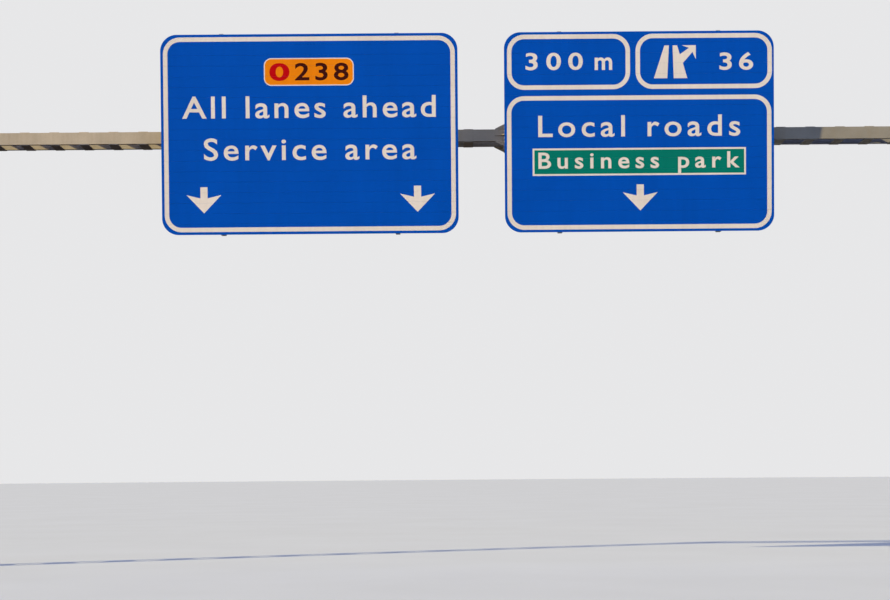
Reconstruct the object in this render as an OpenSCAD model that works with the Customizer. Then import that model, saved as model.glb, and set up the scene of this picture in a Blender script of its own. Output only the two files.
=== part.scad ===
// Overhead sign gantry for a motorway. A beam of two steel channels joined by batten
// plates spans between two legs of the same build, and is bolted together at mid-span.
// Two sign panels of interlocking slats stand off its front on posts that lean forward,
// so that the panels face the drivers below.
// X runs along the beam, Y away from the faces of the signs, and Z up.
// The origin is the middle of the left base plate's underside.

/* [Span and height] */
// Height of the panels' lower edges above the ground
sign_clearance = 5500; // [4000:50:6500]
// Length of each half of the beam, from flange face to flange face
half_beam_length = 9280; // [6600:10:11000]
// Height of the beam's centre line above the middle of the panels
beam_rise = 20; // [-200:5:200]
// Width of the beam and of the legs, over the two channel webs
frame_width = 550; // [420:5:800]

/* [Channels] */
// Depth of the channel section
channel_depth = 200; // [160:5:280]
// Width of the channel flanges
channel_flange = 75; // [60:1:100]
// Thickness of the channel web
channel_web_t = 8.5; // [6:0.5:12]
// Thickness of the channel flanges
channel_flange_t = 11.5; // [8:0.5:16]
// Radius where web and flange meet
channel_root_r = 11; // [5:1:18]

/* [Batten plates] */
// Width of a batten plate, along the beam or up the leg
batten_w = 160; // [100:5:240]
// Thickness of the batten plates
batten_t = 10; // [6:1:16]
// Distance from one batten plate to the next
batten_pitch = 500; // [350:5:700]
// Least distance from a flange face of a half beam to the centre of the nearest batten
batten_margin = 500; // [300:5:700]
// Height of the lowest leg batten's centre above the base plate
leg_batten_start = 340; // [250:5:600]
// Space left for the weld beside a plate
weld_land = 3; // [1:0.5:8]

/* [Bolted flanges] */
// Thickness of the flange plates
flange_t = 25; // [16:1:40]
// How far the flange plates stand out past the channels
flange_margin = 88; // [80:2:140]
// Length of the tapered stiffeners along the beam
stiffener_length = 165; // [120:5:240]
// Thickness of the stiffeners and of the base ribs
stiffener_t = 12; // [8:1:18]
// Height of the blunt nose at the thin end of a stiffener
stiffener_nose = 12; // [6:1:20]
// Corner cut off a stiffener where two welds would meet
stiffener_snipe = 15; // [8:1:25]
// Diameter of the bolt holes in the flange plates
bolt_hole_d = 22; // [18:1:30]
// Spacing of the bolts up the sides of a flange plate
side_bolt_pitch = 60; // [50:1:70]
// Spacing of the bolts along the top and bottom of a flange plate
row_bolt_pitch = 125; // [80:5:130]

/* [Base plates] */
// Thickness of the base plates
base_t = 30; // [20:1:50]
// How far a base plate reaches past the leg, along the beam
base_margin_x = 160; // [130:5:250]
// How far a base plate reaches past the leg, across the beam
base_margin_y = 175; // [140:5:250]
// Distance of the anchor holes from the base plate's edges
anchor_edge = 60; // [50:1:70]
// Diameter of the anchor holes
anchor_hole_d = 40; // [30:1:50]
// Height of the base ribs
base_rib_h = 240; // [120:5:400]
// Distance of the base ribs from the base plate's edges
base_rib_edge = 20; // [5:1:40]
// Distance between the two ribs on the outer face of a channel
base_rib_spacing = 140; // [120:2:150]
// Thickness of the plate that closes the top of a leg
cap_t = 12; // [6:1:20]
// How far that plate reaches past the leg
cap_overhang = 10; // [2:1:25]

/* [Sign panels] */
// Width of the left panel
left_sign_width = 4945; // [2600:5:5600]
// Width of the right panel
right_sign_width = 4490; // [2600:5:5600]
// Gap between the two panels
sign_gap = 773; // [300:1:1500]
// How far the right panel reaches past the mid-span joint, towards the left
right_sign_reach = 46; // [-400:1:300]
// Number of slats in each panel
slat_count = 19; // [10:1:24]
// Height of one slat, seam to seam
slat_pitch = 175; // [140:1:200]
// Radius of the panels' corners
corner_r = 275; // [50:5:400]
// Forward lean of the panels, in degrees from the upright
sign_lean = 5; // [0:0.5:8]

/* [Slat section] */
// Depth of the slats, front to back
slat_depth = 35; // [28:1:50]
// Wall thickness of the slats
slat_skin = 3; // [2:0.5:4]
// Length of the lips on the back of a slat
slat_lip = 14; // [8:1:30]
// Open seam between two slats
slat_seam = 0.6; // [0.4:0.1:0.9]
// Bevel along the front edges of a slat
slat_bevel = 1.2; // [0.5:0.1:2]
// Clear width of the groove under a slat
groove_w = 8; // [6:0.5:10]
// Clear height of that groove
groove_h = 7; // [6:0.5:12]
// Clearance of the tongue in the groove, on each side and above
tongue_clearance = 2; // [1:0.25:2.5]

/* [Sign posts and brackets] */
// Depth of the post section
post_depth = 140; // [100:5:180]
// Width of the post flanges
post_width = 73; // [66:1:100]
// Thickness of the post web
post_web_t = 4.7; // [4:0.1:8]
// Thickness of the post flanges
post_flange_t = 6.9; // [5:0.1:10]
// Radius where the post's web and flange meet
post_root_r = 7; // [3:1:12]
// How far a post stands out past the panel's top and bottom edges
post_overhang = 14; // [5:1:80]
// Distance of the left panel's posts from its ends
left_post_inset = 1015; // [600:5:1200]
// Distance of the right panel's posts from its ends
right_post_inset = 920; // [600:5:1200]
// Gap between the front of the beam and the back of the posts
stand_off = 245; // [120:5:400]
// Thickness of the bracket's end plates
bracket_plate_t = 12; // [8:1:20]
// Width of the bracket's plate on the beam
beam_plate_w = 200; // [150:5:300]
// Height of the bracket's plate on the beam
beam_plate_h = 160; // [145:5:200]
// Width of the bracket's plate on the post
post_plate_w = 90; // [76:1:130]
// Height of the bracket's plate on the post
post_plate_h = 300; // [220:5:400]
// Distance of the bracket's bolts from its plates' edges
bracket_bolt_edge = 25; // [20:1:30]
// Diameter of the bolt holes between bracket and beam
beam_bolt_hole_d = 18; // [14:1:22]
// Diameter of the bolt holes between bracket and post
post_bolt_hole_d = 14; // [11:1:18]
// Spacing of those bolts across the post
post_bolt_gauge = 42; // [38:1:44]

/* [Hidden] */
$fn = 48;

galvanised = [0.62, 0.58, 0.52];
sign_blue = [0.01, 0.28, 0.66];

// The leg's depth along the beam is the channel's depth
half_leg = channel_depth / 2;
beam_start_x = half_leg + flange_t;
splice_x = beam_start_x + half_beam_length;
right_leg_x = 2 * splice_x;

sign_height = slat_count * slat_pitch;
sign_depth = post_depth + slat_depth;
// The panels lean about a line at the back of the posts, level with the middle of the beam
reach_below_beam = sign_height / 2 + beam_rise;
beam_z = sign_clearance + reach_below_beam * cos(sign_lean) + sign_depth * sin(sign_lean);
// Height of the panels' lower edges before they lean
upright_sign_z = beam_z - reach_below_beam;
flange_height = channel_depth + 2 * flange_margin;
flange_width = frame_width + 2 * flange_margin;
leg_top_z = beam_z + flange_height / 2;
base_x = channel_depth + 2 * base_margin_x;
base_y = frame_width + 2 * base_margin_y;

// Battens run between the planes of the stiffeners
batten_span = frame_width - 2 * (stiffener_t + weld_land);
beam_batten_count = floor((half_beam_length - 2 * batten_margin) / batten_pitch) + 1;
batten_start = (half_beam_length - (beam_batten_count - 1) * batten_pitch) / 2;
leg_batten_room = leg_top_z - flange_height - weld_land - batten_w / 2 - base_t - leg_batten_start;
leg_batten_count = floor(leg_batten_room / batten_pitch) + 1;

right_sign_x = splice_x - right_sign_reach;
left_sign_x = right_sign_x - sign_gap - left_sign_width;
post_back_y = -frame_width / 2 - stand_off;
sign_front_y = post_back_y - sign_depth;

// Section of a channel. The back of the web lies on the X axis's zero.
module channel_section() {
    hollow_w = channel_flange - channel_web_t;
    hollow_h = channel_depth - 2 * channel_flange_t;
    difference() {
        translate([0, -channel_depth / 2])
            square([channel_flange, channel_depth]);
        translate([channel_web_t + channel_root_r, -hollow_h / 2])
            square([hollow_w, hollow_h]);
        translate([channel_web_t, -hollow_h / 2 + channel_root_r])
            square([hollow_w, hollow_h - 2 * channel_root_r]);
        for (side = [-1, 1])
            translate([channel_web_t + channel_root_r, side * (hollow_h / 2 - channel_root_r)])
                circle(channel_root_r);
    }
}

// Section of a post, with its depth along Y
module post_section() {
    hollow_w = (post_width - post_web_t) / 2;
    hollow_h = post_depth - 2 * post_flange_t;
    difference() {
        square([post_width, post_depth], center = true);
        for (side = [-1, 1])
            mirror([side < 0 ? 1 : 0, 0]) {
                translate([post_web_t / 2 + post_root_r, -hollow_h / 2])
                    square([hollow_w, hollow_h]);
                translate([post_web_t / 2, -hollow_h / 2 + post_root_r])
                    square([hollow_w, hollow_h - 2 * post_root_r]);
                for (end = [-1, 1])
                    translate([post_web_t / 2 + post_root_r, end * (hollow_h / 2 - post_root_r)])
                        circle(post_root_r);
            }
    }
}

// Tapered stiffener, with its welded edges on the X and Y axes
module stiffener_outline(length, height) {
    polygon([
        [stiffener_snipe, 0],
        [length, 0],
        [length, stiffener_nose],
        [stiffener_nose, height],
        [0, height],
        [0, stiffener_snipe]
    ]);
}

// Stands a shape drawn across the beam, Y and Z, and extrudes it along X
module along_beam(length) {
    rotate([90, 0, 90])
        linear_extrude(length)
            children();
}

module flange_plate() {
    side_y = (frame_width + flange_margin) / 2;
    row_z = (channel_depth + flange_margin) / 2;
    along_beam(flange_t)
        difference() {
            square([flange_width, flange_height], center = true);
            for (side = [-1, 1]) {
                for (step = [-2, -1, 1, 2])
                    translate([side * side_y, step * side_bolt_pitch])
                        circle(d = bolt_hole_d);
                for (step = [-1.5, -0.5, 0.5, 1.5])
                    translate([step * row_bolt_pitch, side * row_z])
                        circle(d = bolt_hole_d);
            }
        }
}

// Flange of a half beam, with its outer face at X zero. Stiffeners run back
// over the channel flanges and along the middle of the webs.
module beam_flange() {
    color(galvanised)
        union() {
            flange_plate();
            for (side = [0, 1], end = [0, 1])
                mirror([0, side, 0])
                    mirror([0, 0, end])
                        translate([flange_t, frame_width / 2, channel_depth / 2])
                            rotate([90, 0, 0])
                                linear_extrude(stiffener_t)
                                    stiffener_outline(stiffener_length, flange_margin);
            for (side = [0, 1])
                mirror([0, side, 0])
                    translate([flange_t, frame_width / 2, -stiffener_t / 2])
                        linear_extrude(stiffener_t)
                            stiffener_outline(stiffener_length, flange_margin);
        }
}

// Channel of a half beam. The front one has its web towards the signs.
module beam_channel(rear) {
    color(galvanised)
        mirror([0, rear ? 1 : 0, 0])
            translate([flange_t, -frame_width / 2, 0])
                along_beam(half_beam_length - 2 * flange_t)
                    channel_section();
}

module beam_battens(top) {
    color(galvanised)
        for (step = [0 : beam_batten_count - 1])
            mirror([0, 0, top ? 0 : 1])
                translate([batten_start + step * batten_pitch - batten_w / 2,
                           -batten_span / 2, channel_depth / 2])
                    cube([batten_w, batten_span, batten_t]);
}

module base_plate() {
    anchor_x = base_x / 2 - anchor_edge;
    anchor_y = base_y / 2 - anchor_edge;
    color(galvanised)
        linear_extrude(base_t)
            difference() {
                square([base_x, base_y], center = true);
                for (column = [-1, 0, 1], row = [-1, 1])
                    translate([column * anchor_x, row * anchor_y])
                        circle(d = anchor_hole_d);
            }
}

// Two ribs on the outer face of each web, and one on each channel flange
module base_ribs() {
    color(galvanised)
        for (side = [0, 1])
            mirror([0, side, 0]) {
                for (place = [-0.5, 0.5])
                    translate([place * base_rib_spacing - stiffener_t / 2,
                               frame_width / 2, base_t])
                        rotate([90, 0, 90])
                            linear_extrude(stiffener_t)
                                stiffener_outline(base_margin_y - base_rib_edge, base_rib_h);
                for (end = [0, 1])
                    mirror([end, 0, 0])
                        translate([half_leg, frame_width / 2, base_t])
                            rotate([90, 0, 0])
                                linear_extrude(stiffener_t)
                                    stiffener_outline(base_margin_x - base_rib_edge, base_rib_h);
            }
}

module leg_channel(rear) {
    color(galvanised)
        mirror([0, rear ? 1 : 0, 0])
            translate([0, -frame_width / 2, base_t])
                linear_extrude(leg_top_z - base_t)
                    rotate(90)
                        channel_section();
}

// Battens on the leg's face towards the road, or on the one away from it
module leg_battens(road) {
    color(galvanised)
        for (step = [0 : leg_batten_count - 1])
            mirror([road ? 0 : 1, 0, 0])
                translate([half_leg, -batten_span / 2,
                           base_t + leg_batten_start + step * batten_pitch - batten_w / 2])
                    cube([batten_t, batten_span, batten_w]);
}

// Flange on the head of a leg, with stiffeners across the channel webs
module leg_head_flange() {
    color(galvanised)
        translate([half_leg, 0, beam_z])
            union() {
                flange_plate();
                for (side = [0, 1])
                    mirror([0, side, 0])
                        translate([0, frame_width / 2, stiffener_t / 2])
                            rotate([0, 180, 0])
                                linear_extrude(stiffener_t)
                                    stiffener_outline(channel_depth - weld_land, flange_margin);
            }
}

module leg_cap() {
    color(galvanised)
        translate([0, 0, leg_top_z])
            linear_extrude(cap_t)
                square([channel_depth, frame_width + 2 * cap_overhang], center = true);
}

module at_left_leg() {
    children();
}

module at_right_leg() {
    translate([right_leg_x, 0, 0])
        mirror([1, 0, 0])
            children();
}

module at_left_half() {
    translate([beam_start_x, 0, beam_z])
        children();
}

module at_right_half() {
    translate([splice_x, 0, beam_z])
        children();
}

// Turns a flange to the other end of its half beam
module far_end() {
    translate([half_beam_length, 0, 0])
        mirror([1, 0, 0])
            children();
}

// Section of a slat, with the front face on X zero. A tongue on its top edge
// stands in the groove under the slat above.
module slat_section(has_tongue) {
    top = slat_pitch - slat_seam;
    groove_front = 2 * slat_skin;
    groove_back = groove_front + groove_w;
    tongue_front = groove_front + tongue_clearance;
    tongue_back = groove_back - tongue_clearance;
    tongue_h = slat_seam + groove_h - tongue_clearance;
    tongue = has_tongue
        ? [[tongue_back, top], [tongue_back, top + tongue_h],
           [tongue_front, top + tongue_h], [tongue_front, top]]
        : [];
    polygon(concat(
        [[0, slat_bevel], [slat_bevel, 0]],
        [[groove_front, 0], [groove_front, groove_h], [groove_back, groove_h], [groove_back, 0]],
        [[slat_depth, 0], [slat_depth, slat_lip], [slat_depth - slat_skin, slat_lip]],
        [[slat_depth - slat_skin, slat_skin], [groove_back + slat_skin, slat_skin]],
        [[groove_back + slat_skin, groove_h + slat_skin], [slat_skin, groove_h + slat_skin]],
        [[slat_skin, top - slat_skin], [slat_depth - slat_skin, top - slat_skin]],
        [[slat_depth - slat_skin, top - slat_lip], [slat_depth, top - slat_lip], [slat_depth, top]],
        tongue,
        [[slat_bevel, top], [0, top - slat_bevel]]
    ));
}

// Outline of a whole panel, with round corners
module panel_outline(width) {
    translate([corner_r, 0])
        square([width - 2 * corner_r, sign_height]);
    translate([0, corner_r])
        square([width, sign_height - 2 * corner_r]);
    for (x = [corner_r, width - corner_r], z = [corner_r, sign_height - corner_r])
        translate([x, z])
            circle(corner_r, $fn = 96);
}

// Slats from the bottom of a panel to its top. Those at the corners are cut round.
module sign_slats(width) {
    corner_rows = ceil(corner_r / slat_pitch);
    color(sign_blue)
        for (row = [0 : slat_count - 1]) {
            if (row < corner_rows || row >= slat_count - corner_rows)
                intersection() {
                    translate([0, 0, row * slat_pitch])
                        along_beam(width)
                            slat_section(row < slat_count - 1);
                    translate([0, slat_depth, 0])
                        rotate([90, 0, 0])
                            linear_extrude(slat_depth)
                                panel_outline(width);
                }
            else
                translate([0, 0, row * slat_pitch])
                    along_beam(width)
                        slat_section(true);
        }
}

// Leans upright posts and panels forward, about the middle of the brackets' post plates
module leaning() {
    translate([0, post_back_y, beam_z])
        rotate([sign_lean, 0, 0])
            translate([0, -post_back_y, -beam_z])
                children();
}

// Four bolt holes through the plates that meet at Y zero
module bolt_holes(diameter, spacing_x, spacing_z) {
    for (x = [-0.5, 0.5], z = [-0.5, 0.5])
        translate([x * spacing_x, 0, z * spacing_z])
            rotate([90, 0, 0])
                cylinder(d = diameter, h = 4 * bracket_plate_t, center = true);
}

// Bolt holes between a bracket and the front of the beam
module beam_bolt_holes(x) {
    translate([x, -frame_width / 2, beam_z])
        bolt_holes(beam_bolt_hole_d, beam_plate_w - 2 * bracket_bolt_edge,
                   beam_plate_h - 2 * bracket_bolt_edge);
}

// Bolt holes between a bracket and an upright post
module post_bolt_holes(x) {
    translate([x, post_back_y, beam_z])
        bolt_holes(post_bolt_hole_d, post_bolt_gauge, post_plate_h - 2 * bracket_bolt_edge);
}

// Drills a front channel for the brackets of both panels
module drilled_for_brackets() {
    color(galvanised)
        difference() {
            children();
            for (x = concat(left_posts_x, right_posts_x))
                beam_bolt_holes(x);
        }
}

// Post behind a panel, before it leans
module sign_post(x) {
    color(galvanised)
        difference() {
            translate([x, post_back_y - post_depth / 2, upright_sign_z - post_overhang])
                linear_extrude(sign_height + 2 * post_overhang)
                    post_section();
            post_bolt_holes(x);
        }
}

// Bracket from the beam's front web to a post. A short piece of the post section stands
// between two plates, and is cut to the lean at its front end.
module sign_bracket(x) {
    plate_y = -frame_width / 2 - bracket_plate_t;
    cut_y = post_back_y + bracket_plate_t / 2 - stand_off;
    color(galvanised)
        union() {
            difference() {
                translate([x - beam_plate_w / 2, plate_y, beam_z - beam_plate_h / 2])
                    cube([beam_plate_w, bracket_plate_t, beam_plate_h]);
                beam_bolt_holes(x);
            }
            leaning()
                difference() {
                    translate([x - post_plate_w / 2, post_back_y, beam_z - post_plate_h / 2])
                        cube([post_plate_w, bracket_plate_t, post_plate_h]);
                    post_bolt_holes(x);
                }
            difference() {
                translate([x, plate_y, beam_z])
                    rotate([90, 0, 0])
                        linear_extrude(stand_off)
                            post_section();
                leaning()
                    translate([x - post_width, cut_y, beam_z - post_depth])
                        cube([2 * post_width, stand_off, 2 * post_depth]);
            }
        }
}

module at_left_sign() {
    leaning()
        translate([left_sign_x, sign_front_y, upright_sign_z])
            children();
}

module at_right_sign() {
    leaning()
        translate([right_sign_x, sign_front_y, upright_sign_z])
            children();
}

left_posts_x = [left_sign_x + left_post_inset, left_sign_x + left_sign_width - left_post_inset];
right_posts_x = [right_sign_x + right_post_inset, right_sign_x + right_sign_width - right_post_inset];

at_left_leg() base_plate();  // left_base_plate
at_left_leg() base_ribs();  // left_base_ribs
at_left_leg() leg_channel(false);  // left_leg_front_channel
at_left_leg() leg_channel(true);  // left_leg_rear_channel
at_left_leg() leg_battens(true);  // left_leg_road_battens
at_left_leg() leg_battens(false);  // left_leg_verge_battens
at_left_leg() leg_head_flange();  // left_leg_head_flange
at_left_leg() leg_cap();  // left_leg_cap
at_right_leg() base_plate();  // right_base_plate
at_right_leg() base_ribs();  // right_base_ribs
at_right_leg() leg_channel(false);  // right_leg_front_channel
at_right_leg() leg_channel(true);  // right_leg_rear_channel
at_right_leg() leg_battens(true);  // right_leg_road_battens
at_right_leg() leg_battens(false);  // right_leg_verge_battens
at_right_leg() leg_head_flange();  // right_leg_head_flange
at_right_leg() leg_cap();  // right_leg_cap
drilled_for_brackets() at_left_half() beam_channel(false);  // left_beam_front_channel
at_left_half() beam_channel(true);  // left_beam_rear_channel
at_left_half() beam_battens(true);  // left_beam_top_battens
at_left_half() beam_battens(false);  // left_beam_bottom_battens
at_left_half() beam_flange();  // left_beam_end_flange
at_left_half() far_end() beam_flange();  // left_beam_splice_flange
drilled_for_brackets() at_right_half() beam_channel(false);  // right_beam_front_channel
at_right_half() beam_channel(true);  // right_beam_rear_channel
at_right_half() beam_battens(true);  // right_beam_top_battens
at_right_half() beam_battens(false);  // right_beam_bottom_battens
at_right_half() far_end() beam_flange();  // right_beam_end_flange
at_right_half() beam_flange();  // right_beam_splice_flange
at_left_sign() sign_slats(left_sign_width);  // left_sign_slats
leaning() sign_post(left_posts_x[0]);  // left_sign_left_post
leaning() sign_post(left_posts_x[1]);  // left_sign_right_post
sign_bracket(left_posts_x[0]);  // left_sign_left_bracket
sign_bracket(left_posts_x[1]);  // left_sign_right_bracket
at_right_sign() sign_slats(right_sign_width);  // right_sign_slats
leaning() sign_post(right_posts_x[0]);  // right_sign_left_post
leaning() sign_post(right_posts_x[1]);  // right_sign_right_post
sign_bracket(right_posts_x[0]);  // right_sign_left_bracket
sign_bracket(right_posts_x[1]);  // right_sign_right_bracket
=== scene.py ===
import math
import random
import bmesh
import bpy
from mathutils import Matrix, Vector


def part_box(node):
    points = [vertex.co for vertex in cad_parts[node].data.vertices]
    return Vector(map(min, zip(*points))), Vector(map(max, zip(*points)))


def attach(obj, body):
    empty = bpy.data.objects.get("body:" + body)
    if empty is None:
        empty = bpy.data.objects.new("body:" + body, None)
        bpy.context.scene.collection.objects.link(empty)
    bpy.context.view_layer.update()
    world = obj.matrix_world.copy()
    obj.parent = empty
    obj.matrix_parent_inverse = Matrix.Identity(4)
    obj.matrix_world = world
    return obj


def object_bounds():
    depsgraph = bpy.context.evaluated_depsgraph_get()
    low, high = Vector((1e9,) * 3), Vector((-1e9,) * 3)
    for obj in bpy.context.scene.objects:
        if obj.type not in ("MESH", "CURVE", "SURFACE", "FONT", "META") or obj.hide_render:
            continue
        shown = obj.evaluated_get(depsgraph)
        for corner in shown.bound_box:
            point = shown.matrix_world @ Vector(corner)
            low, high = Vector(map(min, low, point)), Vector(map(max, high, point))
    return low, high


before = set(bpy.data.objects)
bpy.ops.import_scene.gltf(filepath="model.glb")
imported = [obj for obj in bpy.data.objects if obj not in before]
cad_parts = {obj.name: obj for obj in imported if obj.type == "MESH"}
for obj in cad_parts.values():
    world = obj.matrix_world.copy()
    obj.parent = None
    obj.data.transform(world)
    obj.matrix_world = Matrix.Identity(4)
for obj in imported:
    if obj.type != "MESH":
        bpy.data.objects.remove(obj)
cad_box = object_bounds()
bpy.ops.object.select_all(action="DESELECT")


# Base plates and ribs: thick steel plates, flame cut and drilled, with ribs welded to them
# and to the foot of each leg. The whole foot is hot-dip galvanised after welding, so zinc
# crystals, rain streaks and road dust make its surface.
CRYSTAL_SIZE = 0.009
CRYSTAL_SHADES = (0.95, 1.05)
CRYSTAL_ROUGHNESS = (0.58, 0.76)
CRYSTAL_HEIGHT = 0.5
CRYSTAL_BUMP = 0.25
CRYSTAL_RELIEF = 0.0008
BLOOM_SIZE = (0.45, 0.45, 0.45)
BLOOM_SHADES = (0.88, 1.12)
NOISE_RANGE = (0.3, 0.7)
FLAT_TOP_SLOPES = (0.3, 0.9)
UPRIGHT_SLOPES = (0.2, 0.7)
STREAK_SIZE = (0.05, 0.05, 0.9)
STREAK_RANGE = (0.45, 0.75)
DUST_PATCH_SIZE = (0.2, 0.2, 0.2)
DUST_PATCH_RANGE = (0.3, 0.65)
DIRT_ROUGHNESS = 0.25
PLAIN_GREY = (0.4, 0.4, 0.4, 1)
ROAD_DUST = (0.33, 0.25, 0.155, 1)
FOOT_ZINC = (0.33, 0.335, 0.34, 1)
ZINC_GLOSS = 0.08


def node(tree, kind, inputs=None, **settings):
    """Adds a shader node. An input that is given a socket is linked to it, any other is set."""
    made = tree.nodes.new(kind)
    for name, value in settings.items():
        setattr(made, name, value)
    for name, value in (inputs or {}).items():
        if isinstance(value, bpy.types.NodeSocket):
            tree.links.new(value, made.inputs[name])
        else:
            made.inputs[name].default_value = value
    return made


def maths(tree, operation, first, second=0.0, clamp=False):
    """Adds a Math node and returns its result."""
    made = node(tree, "ShaderNodeMath", {0: first, 1: second}, operation=operation, use_clamp=clamp)
    return made.outputs[0]


def blend_colours(tree, factor, first, second, how="MIX"):
    """Adds a Mix node for colours and returns its result."""
    inputs = {0: factor, 6: first, 7: second}
    return node(tree, "ShaderNodeMix", inputs, data_type="RGBA", blend_type=how).outputs[2]


def shaded(tree, colour, shade):
    """Multiplies a colour by a shade."""
    grey = node(tree, "ShaderNodeCombineColor", {0: shade, 1: shade, 2: shade}).outputs[0]
    return blend_colours(tree, 1.0, colour, grey, "MULTIPLY")


def band(tree, value, low, high, to_low=0.0, to_high=1.0):
    """Maps a value that runs from low to high onto another range, and stops it at both ends."""
    names = ("Value", "From Min", "From Max", "To Min", "To Max")
    made = node(tree, "ShaderNodeMapRange", dict(zip(names, (value, low, high, to_low, to_high))))
    return made.outputs[0]


def stretched_noise(tree, size, detail=3.0):
    """Noise on the object's own coordinates, with grains of this size along X, Y and Z."""
    place = node(tree, "ShaderNodeTexCoord").outputs["Object"]
    scaled = node(tree, "ShaderNodeMapping", {"Vector": place, "Scale": [1 / s for s in size]})
    grain = {"Vector": scaled.outputs[0], "Scale": 1.0, "Detail": detail}
    return node(tree, "ShaderNodeTexNoise", grain).outputs["Fac"]


def effect(name, inputs, outputs):
    """Starts a shader node group and returns its tree, its input node and its output node."""
    tree = bpy.data.node_groups.new(name, "ShaderNodeTree")
    for socket, kind, value in inputs:
        made = tree.interface.new_socket(socket, in_out="INPUT", socket_type="NodeSocket" + kind)
        made.default_value = value
    for socket, kind in outputs:
        tree.interface.new_socket(socket, in_out="OUTPUT", socket_type="NodeSocket" + kind)
    return tree, tree.nodes.new("NodeGroupInput"), tree.nodes.new("NodeGroupOutput")


def finish_effect(tree, end, results):
    """Links the results to the group's outputs."""
    for socket, value in results.items():
        tree.links.new(value, end.inputs[socket])


def make_zinc_crystals():
    """Zinc after some years outdoors: crystals in slightly different greys, under a cloudy bloom."""
    tree, start, end = effect("zinc_crystals", [("Zinc", "Color", PLAIN_GREY)],
                              [("Colour", "Color"), ("Roughness", "Float"), ("Height", "Float")])
    place = node(tree, "ShaderNodeTexCoord").outputs["Object"]
    cells = node(tree, "ShaderNodeTexVoronoi", {"Vector": place, "Scale": 1 / CRYSTAL_SIZE})
    crystal = node(tree, "ShaderNodeSeparateColor", {"Color": cells.outputs["Color"]}).outputs[0]
    cloud = stretched_noise(tree, BLOOM_SIZE, detail=5.0)
    pale = band(tree, crystal, 0.0, 1.0, *CRYSTAL_SHADES)
    bloom = band(tree, cloud, *NOISE_RANGE, *BLOOM_SHADES)
    finish_effect(tree, end, {
        "Colour": shaded(tree, start.outputs["Zinc"], maths(tree, "MULTIPLY", pale, bloom)),
        "Roughness": band(tree, crystal, 0.0, 1.0, *CRYSTAL_ROUGHNESS),
        "Height": maths(tree, "MULTIPLY", crystal, CRYSTAL_HEIGHT),
    })
    return tree


def make_weathering():
    """Dust that lies on flat tops and runs down upright faces in streaks."""
    sockets = [("Colour", "Color", PLAIN_GREY), ("Dirt", "Color", ROAD_DUST),
               ("Streaks", "Float", 0.3), ("Dust", "Float", 0.5)]
    tree, start, end = effect("weathering", sockets, [("Colour", "Color"), ("Dirty", "Float")])
    facing = node(tree, "ShaderNodeNewGeometry").outputs["Normal"]
    up = node(tree, "ShaderNodeSeparateXYZ", {"Vector": facing}).outputs["Z"]
    flat_top = band(tree, up, *FLAT_TOP_SLOPES)
    upright = band(tree, maths(tree, "ABSOLUTE", up), *UPRIGHT_SLOPES, 1.0, 0.0)
    runs = stretched_noise(tree, STREAK_SIZE, detail=4.0)
    patches = stretched_noise(tree, DUST_PATCH_SIZE, detail=6.0)
    streaky = maths(tree, "MULTIPLY", band(tree, runs, *STREAK_RANGE), upright)
    dusty = maths(tree, "MULTIPLY", band(tree, patches, *DUST_PATCH_RANGE), flat_top)
    streaks = maths(tree, "MULTIPLY", streaky, start.outputs["Streaks"])
    dust = maths(tree, "MULTIPLY", dusty, start.outputs["Dust"])
    dirty = maths(tree, "ADD", streaks, dust, clamp=True)
    finish_effect(tree, end, {
        "Colour": blend_colours(tree, dirty, start.outputs["Colour"], start.outputs["Dirt"]),
        "Dirty": dirty,
    })
    return tree


zinc_crystals = make_zinc_crystals()
weathering = make_weathering()


def new_material(name):
    """An empty node material. Returns it, its tree and its Principled node."""
    material = bpy.data.materials.new(name)
    material.use_nodes = True
    return material, material.node_tree, material.node_tree.nodes["Principled BSDF"]


def cover(tree, surface, colour, roughness, height, strength, relief):
    """Gives the Principled node its colour, its roughness and a bump of this strength and relief."""
    bump = node(tree, "ShaderNodeBump", {"Height": height, "Strength": strength, "Distance": relief})
    tree.links.new(colour, surface.inputs["Base Color"])
    tree.links.new(roughness, surface.inputs["Roughness"])
    tree.links.new(bump.outputs["Normal"], surface.inputs["Normal"])


def galvanised(name, zinc, streaks, dust, metallic=0.0, gloss=ZINC_GLOSS):
    """Weathered zinc coat in this grey, with this much dirt."""
    material, tree, surface = new_material(name)
    coat = node(tree, "ShaderNodeGroup", {"Zinc": zinc}, node_tree=zinc_crystals)
    dirt = {"Colour": coat.outputs["Colour"], "Streaks": streaks, "Dust": dust}
    weather = node(tree, "ShaderNodeGroup", dirt, node_tree=weathering)
    roughened = maths(tree, "MULTIPLY", weather.outputs["Dirty"], DIRT_ROUGHNESS)
    roughness = maths(tree, "ADD", coat.outputs["Roughness"], roughened, clamp=True)
    cover(tree, surface, weather.outputs["Colour"], roughness, coat.outputs["Height"],
          CRYSTAL_BUMP, CRYSTAL_RELIEF)
    surface.inputs["Metallic"].default_value = metallic
    surface.inputs["Specular IOR Level"].default_value = gloss
    return material


def coat_nodes(material, names):
    """Gives CAD nodes their finish."""
    for name in names:
        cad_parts[name].material_slots[0].material = material


foot_zinc = galvanised("foot_zinc", FOOT_ZINC, streaks=0.25, dust=0.65, metallic=0.4)
for side in ("left", "right"):
    coat_nodes(foot_zinc, [side + "_base_plate", side + "_base_ribs"])


# Weld beads of the feet: fillets laid by hand along both sides of each rib and round the
# foot of each channel, and galvanised with the rest.
BEAD_RADIUS = 0.0045
RIB_HALF_T = 0.006
RIB_SNIPE = 0.016
RIB_OFFSET = 0.07
CHANNEL_LIP = 0.075


def only(piece):
    """Selects one object and makes it the active one."""
    bpy.ops.object.select_all(action="DESELECT")
    piece.select_set(True)
    bpy.context.view_layer.objects.active = piece


def hand_over(piece, name, material):
    """Names a finished piece, gives it its finish and fixes it to the gantry."""
    only(piece)
    bpy.ops.object.transform_apply(location=True, rotation=True, scale=True)
    piece.name = name
    piece.data.name = name
    piece.data.materials.clear()
    piece.data.materials.append(material)
    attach(piece, "root")


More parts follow.
